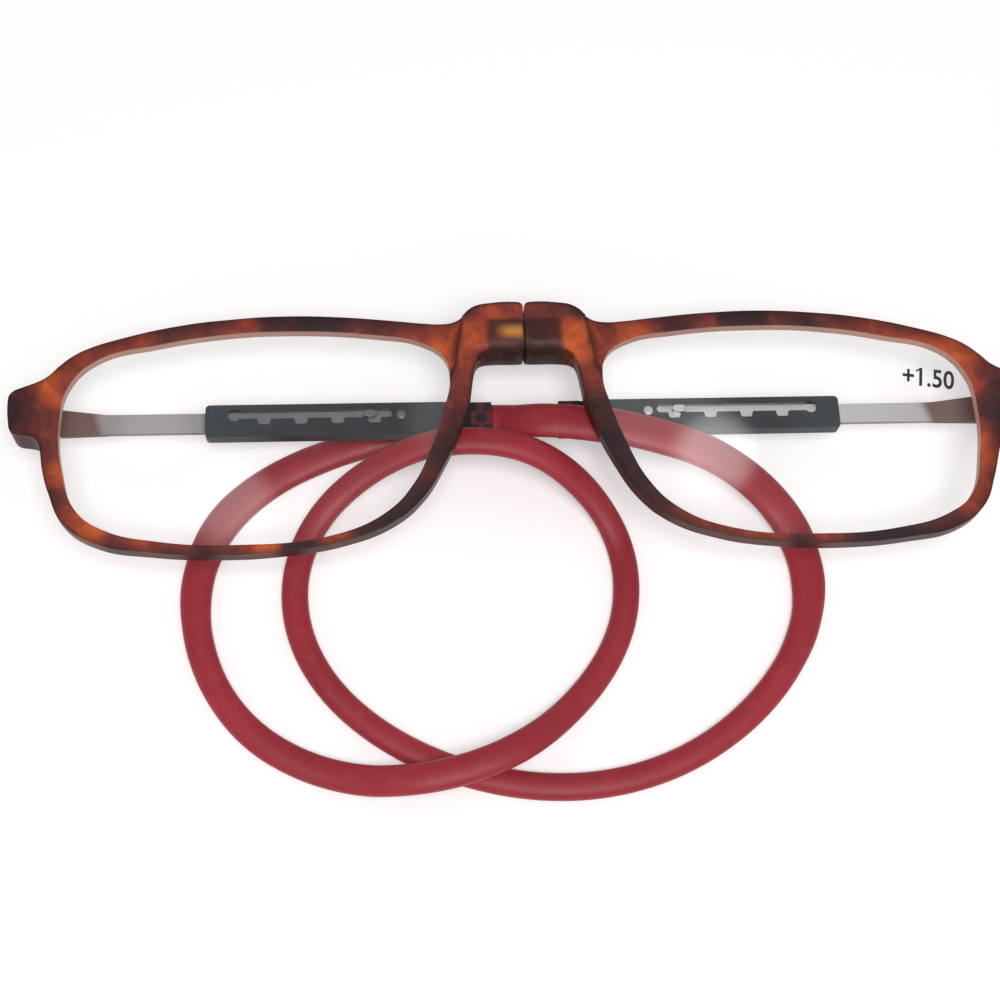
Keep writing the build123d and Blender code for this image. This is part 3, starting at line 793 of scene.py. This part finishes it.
def band_width(place):
    """The band's width at a distance along it."""
    for (start, before), (end, after) in zip(BAND_WIDTHS, BAND_WIDTHS[1:]):
        if place <= end:
            return before + (after - before) * ramp(place, start, end)
    return BAND_WIDTHS[-1][1]


def fuller(value):
    """A circle's coordinate from -1 to 1 moved outwards, which turns an oval into a flat oval."""
    return abs(value) ** BAND_FULLNESS * (1 if value > 0 else -1)


def mould_band(material):
    """The flat-oval silicone band, wider towards its moulded ends."""
    line = band_line()
    gone = [0.0]
    for a, b in zip(line, line[1:]):
        gone.append(gone[-1] + (b - a).length)
    bm = bmesh.new()
    rings = []
    for number, place in enumerate(line):
        along = (line[min(number + 1, len(line) - 1)] - line[max(number - 1, 0)]).normalized()
        level = Vector((0, 0, 1)).cross(along).normalized()
        upward = along.cross(level).normalized()
        width = band_width(gone[number] / gone[-1] * BAND_WIDTHS[-1][0])
        ring = bmesh.ops.create_circle(bm, cap_ends=False, radius=1, segments=BAND_FACETS)["verts"]
        for vert in ring:
            across, rise = fuller(vert.co.x), fuller(vert.co.y)
            spot = place + level * across * width / 2 * MM
            spot += upward * rise * BAND_THICKNESS / 2 * MM
            spot.z = max(spot.z, (TABLE_Z + BAND_CLEARANCE) * MM)
            vert.co = spot
        edges = {edge for vert in ring for edge in vert.link_edges}
        rings.append(sorted(edges, key=lambda edge: edge.index))
    for a, b in zip(rings, rings[1:]):
        bmesh.ops.bridge_loops(bm, edges=a + b)
    bmesh.ops.holes_fill(bm, edges=rings[0] + rings[-1], sides=BAND_FACETS)
    bmesh.ops.recalc_face_normals(bm, faces=bm.faces)
    piece = finished(bm, "silicone_band", material)
    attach(piece, "neckband")
    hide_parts("neckband")


# Shared effects


def effect(name, inputs, outputs):
    """An empty node group that takes a vector and numbers and puts out numbers."""
    group = bpy.data.node_groups.new(name, "ShaderNodeTree")
    group.interface.new_socket(name="Vector", in_out="INPUT", socket_type="NodeSocketVector")
    for label, value in inputs.items():
        socket = group.interface.new_socket(
            name=label, in_out="INPUT", socket_type="NodeSocketFloat",
        )
        socket.default_value = value
    for label in outputs:
        group.interface.new_socket(name=label, in_out="OUTPUT", socket_type="NodeSocketFloat")
    given = group.nodes.new("NodeGroupInput").outputs
    made = group.nodes.new("NodeGroupOutput").inputs
    return group, given, made


def make_grain():
    """A fine moulded grain: a height for the bump, and a roughness that drifts a little."""
    group, given, made = effect(
        "moulded_grain",
        {"Grain Scale": 4000.0, "Drift Scale": 150.0, "Roughness": 0.4, "Spread": 0.1},
        ["Height", "Roughness"],
    )
    grain = Wiring(group)
    grain.feed(grain.noise(given["Vector"], given["Grain Scale"]), made["Height"])
    slow = grain.noise(given["Vector"], given["Drift Scale"], detail=4)
    drift = grain.math("SUBTRACT", slow, 0.5)
    drift = grain.math("MULTIPLY_ADD", drift, given["Spread"], given["Roughness"])
    grain.feed(drift, made["Roughness"])
    return group


def make_handling():
    """Faint smudges of handling, as one mask."""
    group, given, made = effect("handling_marks", {"Scale": 300.0, "Amount": 0.5}, ["Mask"])
    marks = Wiring(group)
    smudge = marks.noise(given["Vector"], given["Scale"], detail=5, roughness=0.65)
    picked = marks.fade(smudge, 0.52, 0.72)
    marks.feed(marks.math("MULTIPLY", picked, given["Amount"]), made["Mask"])
    return group


GRAIN = make_grain()
HANDLING = make_handling()


# Materials


class Finish(Wiring):
    """A material with its shader, and short calls for what feeds it."""

    def __init__(self, name):
        self.material = bpy.data.materials.new(name)
        self.material.use_nodes = True
        super().__init__(self.material.node_tree)
        self.shader = self.nodes["Principled BSDF"]

    @cached_property
    def place(self):
        """The place on the piece."""
        return self.nodes.new("ShaderNodeTexCoord").outputs["Object"]

    @cached_property
    def axes(self):
        """The three coordinates of the place, by name, in metres."""
        return self.fed("ShaderNodeSeparateXYZ", {"Vector": self.place}).outputs

    def attribute(self, name):
        """A value that the mesh carries."""
        node = self.nodes.new("ShaderNodeAttribute")
        node.attribute_name = name
        return node.outputs["Fac"]

    def clouds(self, scale, detail=3, roughness=0.5, distortion=0.0):
        """Soft noise over the piece."""
        return self.noise(self.place, scale, detail, roughness, distortion)

    def tones(self, value, stops):
        """A colour from a run of tones, each at its value from 0 to 1."""
        node = self.fed("ShaderNodeValToRGB", {"Fac": value})
        elements = node.color_ramp.elements
        while len(elements) < len(stops):
            elements.new(1)
        for element, (place, tone) in zip(elements, stops):
            element.position = place
            element.color = colour(*tone)
        return node.outputs["Color"]

    def mix(self, share, base, other):
        """A base colour turned towards another, each plain or from a node."""
        node = self.nodes.new("ShaderNodeMix")
        node.data_type = "RGBA"
        self.feed(share, node.inputs["Factor"])
        for label, value in (("A", base), ("B", other)):
            sockets = [s for s in node.inputs if s.name == label and s.type == "RGBA"]
            self.feed(value, sockets[0])
        return [s for s in node.outputs if s.type == "RGBA"][0]

    def tint(self, base, mask, share, tone):
        """A base colour turned towards a tone, by up to a share, where a mask is light."""
        return self.mix(self.math("MULTIPLY", mask, share), base, colour(*tone))

    def effect(self, group, values):
        """One of the shared effects, placed in this material with its own values."""
        node = self.nodes.new("ShaderNodeGroup")
        node.node_tree = group
        self.feed(self.place, node.inputs["Vector"])
        for label, value in values.items():
            node.inputs[label].default_value = value
        return node.outputs

    def handling(self, scale, amount):
        """The shared mask of smudges."""
        return self.effect(HANDLING, {"Scale": scale, "Amount": amount})["Mask"]

    def bump(self, height, strength, distance):
        """Raises and lowers the surface, by a distance in metres at the most."""
        node = self.fed("ShaderNodeBump", {
            "Height": height, "Strength": strength, "Distance": distance,
        })
        self.feed(node.outputs["Normal"], self.shader.inputs["Normal"])

    def grain(self, scale, roughness, spread, strength, distance):
        """The shared grain on the roughness and the bump."""
        made = self.effect(GRAIN, {
            "Grain Scale": scale, "Roughness": roughness, "Spread": spread,
        })
        self.bump(made["Height"], strength, distance)
        self.feed(made["Roughness"], self.shader.inputs["Roughness"])

    def paint(self, value):
        """The colour of the surface."""
        self.feed(value, self.shader.inputs["Base Color"])

    def set(self, **values):
        """Plain values of the shader's own sockets."""
        for label, value in values.items():
            self.shader.inputs[label.replace("_", " ")].default_value = value


# Tones of the tortoiseshell, from its clear orange to its dark clouds
TORTOISE_TONES = [
    (0.0, (220, 106, 52)), (0.2, (190, 86, 54)), (0.42, (150, 67, 54)),
    (0.62, (112, 58, 54)), (0.82, (80, 49, 50)), (1.0, (62, 47, 50)),
]
# How much the broad and the small noise move the clouds, and the contrast that is then given
BROAD_DRIFT = 0.75
SMALL_DRIFT = 0.2
CLOUD_CONTRAST = 1.3
CLOUD_LIFT = -0.14
# Where the front face begins, and where the magnet's dark tone and painted shade and the painted
# glint over it show, in metres
FRONT_FACE = (0.0033, 0.0035)
MAGNET_END = (0.0046, 0.0056)
MAGNET_FOOT = (0.0092, 0.0101)
MAGNET_TOP = (0.0150, 0.0158)
MAGNET_WAVER = 0.0012
GLINT_LEFT = (-0.0045, -0.0018)
GLINT_RIGHT = (-0.0006, 0.0)
GLINT_FOOT = (0.0119, 0.0134)
GLINT_TOP = (0.0135, 0.015)
# Tones laid over the tortoiseshell: painted shade on its sides, painted light on its lens walls,
# painted shade at its edges and crease, the magnet painted dark with its shade, and a painted glint
SHADED_SIDE_TONE = (66, 23, 21)
LIT_WALL_TONE = (224, 170, 150)
SHADED_EDGE_TONE = (38, 21, 23)
MAGNET_AND_SHADE_TONE = (60, 40, 37)
GLINT_TONE = (226, 152, 82)


def tortoise_plastic():
    """Translucent tortoiseshell: clouds of orange in dark brown under a satin skin, with painted
    shade and painted light laid over it.
    """
    finish = Finish("tortoise_rim")
    broad = finish.clouds(260, detail=4, roughness=0.6, distortion=0.8)
    small = finish.math("SUBTRACT", finish.clouds(1100, roughness=0.6), 0.5)
    depth = finish.math("SUBTRACT", broad, 0.5)
    depth = finish.math("MULTIPLY_ADD", depth, BROAD_DRIFT, finish.attribute("cloud"))
    depth = finish.math("MULTIPLY_ADD", small, SMALL_DRIFT, depth)
    depth = finish.math("MULTIPLY_ADD", depth, CLOUD_CONTRAST, CLOUD_LIFT)
    tone = finish.tones(depth, TORTOISE_TONES)
    across, upward, outward = (finish.axes[name] for name in "XYZ")
    front = finish.fade(outward, *FRONT_FACE)
    # Painted shade on the sides and back, behind the front face
    behind = finish.inverse(front)
    tone = finish.tint(tone, behind, 0.85, SHADED_SIDE_TONE)
    # Painted light on the walls of the lens opening
    wall = finish.math("MULTIPLY", finish.attribute("inner_wall"), behind)
    tone = finish.tint(tone, wall, 0.85, LIT_WALL_TONE)
    # Painted shade along the rim's outer edge and in the bridge's crease
    edge = finish.math("MULTIPLY", finish.attribute("rim_edge"), front)
    edge = finish.math("MAXIMUM", edge, finish.attribute("crease"))
    tone = finish.tint(tone, edge, 0.8, SHADED_EDGE_TONE)
    # The magnet is painted dark through the block, partly its own dark metal and partly painted
    # shade, with a painted glint on the left one
    reach = finish.math("ABSOLUTE", finish.math("MULTIPLY_ADD", small, MAGNET_WAVER, across))
    magnet = finish.inverse(finish.fade(reach, *MAGNET_END))
    magnet = finish.math("MULTIPLY", magnet, finish.window(upward, MAGNET_FOOT, MAGNET_TOP))
    tone = finish.tint(tone, magnet, 0.85, MAGNET_AND_SHADE_TONE)
    glint = finish.window(across, GLINT_LEFT, GLINT_RIGHT)
    glint = finish.math("MULTIPLY", glint, finish.window(upward, GLINT_FOOT, GLINT_TOP))
    finish.paint(finish.tint(tone, glint, 0.85, GLINT_TONE))
    finish.grain(scale=9000, roughness=0.4, spread=0.12, strength=0.12, distance=0.00005)
    finish.set(IOR=1.45, Transmission_Weight=0.22, Specular_IOR_Level=0.13)
    return finish.material


def clear_lens():
    """Clear coated resin with faint smears. Shadow rays and soft light pass straight through."""
    finish = Finish("clear_lens")
    finish.set(IOR=1.5, Transmission_Weight=1.0, Base_Color=(0.995, 1.0, 0.998, 1))
    smears = finish.math("MULTIPLY", finish.handling(scale=160, amount=1.0), 0.03)
    finish.feed(smears, finish.shader.inputs["Roughness"])
    paths = finish.nodes.new("ShaderNodeLightPath").outputs
    unseen = finish.math("MAXIMUM", paths["Is Shadow Ray"], paths["Is Diffuse Ray"])
    passing = finish.nodes.new("ShaderNodeBsdfTransparent")
    either = finish.nodes.new("ShaderNodeMixShader")
    finish.feed(unseen, either.inputs["Fac"])
    finish.feed(finish.shader.outputs["BSDF"], either.inputs[1])
    finish.feed(passing.outputs["BSDF"], either.inputs[2])
    finish.feed(either.outputs["Shader"], finish.nodes["Material Output"].inputs["Surface"])
    return finish.material


def raspberry_silicone(name, low, high):
    """Matte silicone with a fine dull skin and faint smudges."""
    finish = Finish(name)
    base = finish.tones(finish.clouds(70), [(0.3, low), (0.7, high)])
    finish.paint(finish.mix(finish.handling(scale=420, amount=0.12), base, colour(190, 95, 108)))
    finish.grain(scale=7000, roughness=0.48, spread=0.1, strength=0.15, distance=0.00006)
    finish.set(Sheen_Weight=0.06, Sheen_Roughness=0.5, Specular_IOR_Level=0.4)
    return finish.material


# Where a sleeve turns paler towards its outer end, in metres from the middle
SLEEVE_PALE = (0.030, 0.044)


def graphite_sleeve():
    """Satin charcoal plastic, paler at its outer end, with painted shade on its side faces."""
    finish = Finish("sleeve_graphite")
    base = finish.tones(finish.clouds(260, detail=4), [(0.3, (31, 34, 38)), (0.7, (41, 45, 50))])
    outer = finish.fade(finish.math("ABSOLUTE", finish.axes["X"]), *SLEEVE_PALE)
    base = finish.tint(base, outer, 0.25, (80, 88, 94))
    base = finish.mix(finish.handling(scale=500, amount=0.12), base, colour(85, 90, 96))
    # Painted shade on the side faces
    finish.paint(finish.tint(base, finish.attribute("side_face"), 0.6, (24, 26, 29)))
    finish.grain(scale=8000, roughness=0.46, spread=0.08, strength=0.03, distance=0.00003)
    finish.set(Specular_IOR_Level=0.35)
    return finish.material


# Where the steel's painted light and shade fall, in metres: painted light on the right half,
# painted shade inside the left sleeve, and brown painted shade by the end blocks, where the line
# between leans with Y
LIT_HALF = (0.005, 0.02)
SLEEVE_MOUTH = (-0.0445, -0.0435)
SLEEVE_END = (-0.003, 0.0)
BROWN_SHADE_END = (0.0562, 0.0578)
BROWN_SHADE_LEAN = 0.3


def satin_steel(name, bright, dull, roughness=0.3):
    """Satin steel, brushed along its length, with painted light on its right half and painted shade
    on its sides, inside the left sleeve and by the end blocks.
    """
    finish = Finish(name)
    base = finish.mix(finish.clouds(220, detail=4), colour(*bright), colour(*dull))
    across = finish.axes["X"]
    # Painted light on the right half
    base = finish.tint(base, finish.fade(across, *LIT_HALF), 0.8, (238, 235, 236))
    # Painted shade inside the left sleeve
    sleeve_shade = finish.window(across, SLEEVE_MOUTH, SLEEVE_END)
    base = finish.tint(base, sleeve_shade, 0.6, (110, 108, 111))
    # Brown painted shade by the end blocks
    reach = finish.math("MULTIPLY_ADD", finish.axes["Y"], BROWN_SHADE_LEAN, across)
    brown = finish.fade(finish.math("ABSOLUTE", reach), *BROWN_SHADE_END)
    base = finish.tint(base, brown, 0.9, (134, 98, 92))
    # Painted shade on the side faces
    finish.paint(finish.tint(base, finish.attribute("side_face"), 0.75, (52, 46, 48)))
    stretch = finish.fed("ShaderNodeMapping", {"Vector": finish.place, "Scale": (0.06, 1, 1)})
    lines = finish.noise(stretch.outputs["Vector"], 9000, detail=2)
    finish.bump(lines, strength=0.15, distance=0.00004)
    brushed = finish.math("MULTIPLY_ADD", lines, 0.14, roughness)
    finish.feed(brushed, finish.shader.inputs["Roughness"])
    finish.set(Metallic=0.75)
    return finish.material


def black_nylon():
    """Dull black nylon."""
    finish = Finish("plug_black")
    tones = [(0.3, (22, 22, 24)), (0.7, (36, 35, 37))]
    finish.paint(finish.tones(finish.clouds(500, detail=4), tones))
    finish.grain(scale=6000, roughness=0.5, spread=0.15, strength=0.2, distance=0.00006)
    return finish.material


def printed_ink():
    """Black pad-printed ink, slightly uneven."""
    finish = Finish("printed_ink")
    tones = [(0.3, (22, 24, 24)), (0.75, (48, 50, 50))]
    finish.paint(finish.tones(finish.clouds(2500), tones))
    finish.grain(scale=5000, roughness=0.6, spread=0.1, strength=0.1, distance=0.00002)
    return finish.material


def white_table():
    """A matte white table top that glows a little where it is looked at."""
    finish = Finish("white_table")
    finish.set(Base_Color=TABLE_COLOUR, Roughness=0.6, Specular_IOR_Level=0.2)
    paths = finish.nodes.new("ShaderNodeLightPath").outputs
    seen = finish.math("MULTIPLY", paths["Is Camera Ray"], TABLE_GLOW)
    mirrored = finish.math("MAXIMUM", paths["Is Glossy Ray"], paths["Is Transmission Ray"])
    glow = finish.math("MULTIPLY_ADD", mirrored, TABLE_GLOW_MIRRORED, seen)
    finish.set(Emission_Color=(1, 1, 1, 1))
    finish.feed(glow, finish.shader.inputs["Emission Strength"])
    return finish.material


def dress_all():
    """Every piece with its material, on its body."""
    tortoise, glass = tortoise_plastic(), clear_lens()
    temple = satin_steel("temple_steel", (190, 185, 187), (172, 165, 168))
    bright = satin_steel("bright_steel", (158, 154, 156), (136, 132, 134))
    hinge = satin_steel("hinge_steel", (168, 166, 168), (140, 138, 140))
    nickel = satin_steel("nickel_magnet", (190, 186, 182), (165, 160, 156), roughness=0.25)
    graphite = graphite_sleeve()
    raspberry = raspberry_silicone("band_raspberry", (144, 31, 42), (160, 38, 50))
    # The cuff is the band's silicone made darker, as painted shade under the rims
    shaded_raspberry = raspberry_silicone("cuff_raspberry_in_shade", (84, 28, 38), (98, 34, 44))
    nylon = black_nylon()
    mould_band(raspberry)
    for side in SIDES:
        mould_front(side, tortoise)
        cast_lens(side, glass)
        # Each CAD piece with its body, the rounding of its edges, its slot and its material
        for node, body, size, slot, material in (
            ("magnet", f"front_{side}", 0.06, "nickel_magnet", nickel),
            ("front_hinge_leaf", f"front_{side}", 0.06, "hinge_steel", hinge),
            ("hinge_screw", f"front_{side}", 0.04, "bright_steel", bright),
            ("temple_strip", f"temple_{side}", 0.08, "temple_steel", temple),
            ("detent_stud", f"temple_{side}", 0.08, "bright_steel", bright),
            ("temple_sleeve", "neckband", 0.12, "sleeve_graphite", graphite),
            ("sleeve_rivet", "neckband", 0.04, "bright_steel", bright),
            ("band_plug", "neckband", 0.05, "plug_black", nylon),
            ("band_cuff", "neckband", 0.1, "band_raspberry", shaded_raspberry),
        ):
            soften_node(f"{node}_{side}", body, size, material)
    print_strength(printed_ink())


bpy.context.scene.view_settings.view_transform = "Standard"
place_camera()
light_sky()
place_lamp()
lay_floor()
dress_all()
